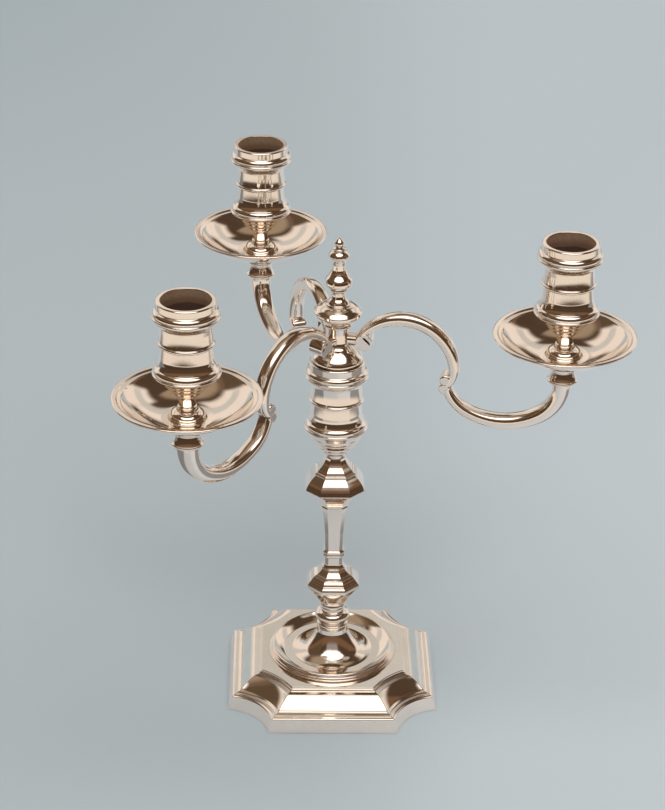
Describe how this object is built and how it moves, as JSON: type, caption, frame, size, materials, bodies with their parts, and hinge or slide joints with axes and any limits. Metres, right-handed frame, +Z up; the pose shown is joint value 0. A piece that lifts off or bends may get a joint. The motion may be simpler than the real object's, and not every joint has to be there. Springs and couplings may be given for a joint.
{
  "type": "candlestick",
  "caption": "Polished silver table candlestick on a square incurved foot, with a lift-out branch of scroll arms carrying drip pans and sconces.",
  "frame": {"origin": "centre of the foot's underside, on the table", "axes": "+Z up the stem; the foot's straight sides lie along X and Y, and -Y is the side a viewer faces"},
  "size_m": [0.2451, 0.2545, 0.2535],
  "materials": {
    "silver": "bright polished silver, gently worn",
    "steel": "plain turned steel",
    "brass": "plain turned brass",
    "baize": "dark green felt"
  },
  "bodies": {
    "candlestick": {"foot": "silver", "baize_pad": "baize", "tie_rod": "steel", "rod_washer": "brass", "rod_nut": "brass", "foot_ring": "silver", "lower_knop": "silver", "stem_shaft": "silver", "shoulder_knop": "silver", "main_sconce": "silver"},
    "spigot": {"spigot": "silver"},
    "branch": {"branch_hub": "silver", "hub_cap": "silver", "branch_rod": "brass", "spigot_nut": "brass", "arm_right": "silver", "arm_collar_right": "silver", "drip_pan_right": "silver", "arm_rear": "silver", "arm_collar_rear": "silver", "drip_pan_rear": "silver", "arm_left": "silver", "arm_collar_left": "silver", "drip_pan_left": "silver"},
    "finial_bush": {"finial_bush": "brass"},
    "finial": {"finial": "silver"},
    "sconce_stud_right": {"sconce_stud_right": "brass"},
    "sconce_right": {"sconce_right": "silver"},
    "sconce_stud_rear": {"sconce_stud_rear": "brass"},
    "sconce_rear": {"sconce_rear": "silver"},
    "sconce_stud_left": {"sconce_stud_left": "brass"},
    "sconce_left": {"sconce_left": "silver"}
  },
  "joints": [
    {"name": "branch_lift", "type": "slide", "parent": "candlestick", "child": "spigot", "axis": [0, 0, 1], "range_m": [0, 0.03]},
    {"name": "branch_turn", "type": "hinge", "parent": "spigot", "child": "branch", "pos_m": [0, 0, 0.1829], "axis": [0, 0, 1], "continuous": true},
    {"name": "finial_rise", "type": "slide", "parent": "branch", "child": "finial_bush", "axis": [0, 0, 1], "range_m": [0, 0.006]},
    {"name": "finial_turn", "type": "hinge", "parent": "finial_bush", "child": "finial", "pos_m": [0, 0, 0.2124], "axis": [0, 0, 1], "range_deg": [0, 2160]},
    {"name": "sconce_rise_right", "type": "slide", "parent": "branch", "child": "sconce_stud_right", "axis": [0, 0, 1], "range_m": [0, 0.006]},
    {"name": "sconce_turn_right", "type": "hinge", "parent": "sconce_stud_right", "child": "sconce_right", "pos_m": [0.10731, -0.01796, 0.2003], "axis": [0, 0, 1], "range_deg": [0, 2160]},
    {"name": "sconce_rise_rear", "type": "slide", "parent": "branch", "child": "sconce_stud_rear", "axis": [0, 0, 1], "range_m": [0, 0.006]},
    {"name": "sconce_turn_rear", "type": "hinge", "parent": "sconce_stud_rear", "child": "sconce_rear", "pos_m": [-0.0381, 0.10191, 0.2003], "axis": [0, 0, 1], "range_deg": [0, 2160]},
    {"name": "sconce_rise_left", "type": "slide", "parent": "branch", "child": "sconce_stud_left", "axis": [0, 0, 1], "range_m": [0, 0.006]},
    {"name": "sconce_turn_left", "type": "hinge", "parent": "sconce_stud_left", "child": "sconce_left", "pos_m": [-0.06921, -0.08395, 0.2003], "axis": [0, 0, 1], "range_deg": [0, 2160]}
  ],
  "couplings": [
    {"joint": "finial_rise", "follows": "finial_turn", "m_per_rad": 0.00015915},
    {"joint": "sconce_rise_right", "follows": "sconce_turn_right", "m_per_rad": 0.00015915},
    {"joint": "sconce_rise_rear", "follows": "sconce_turn_rear", "m_per_rad": 0.00015915},
    {"joint": "sconce_rise_left", "follows": "sconce_turn_left", "m_per_rad": 0.00015915}
  ]
}
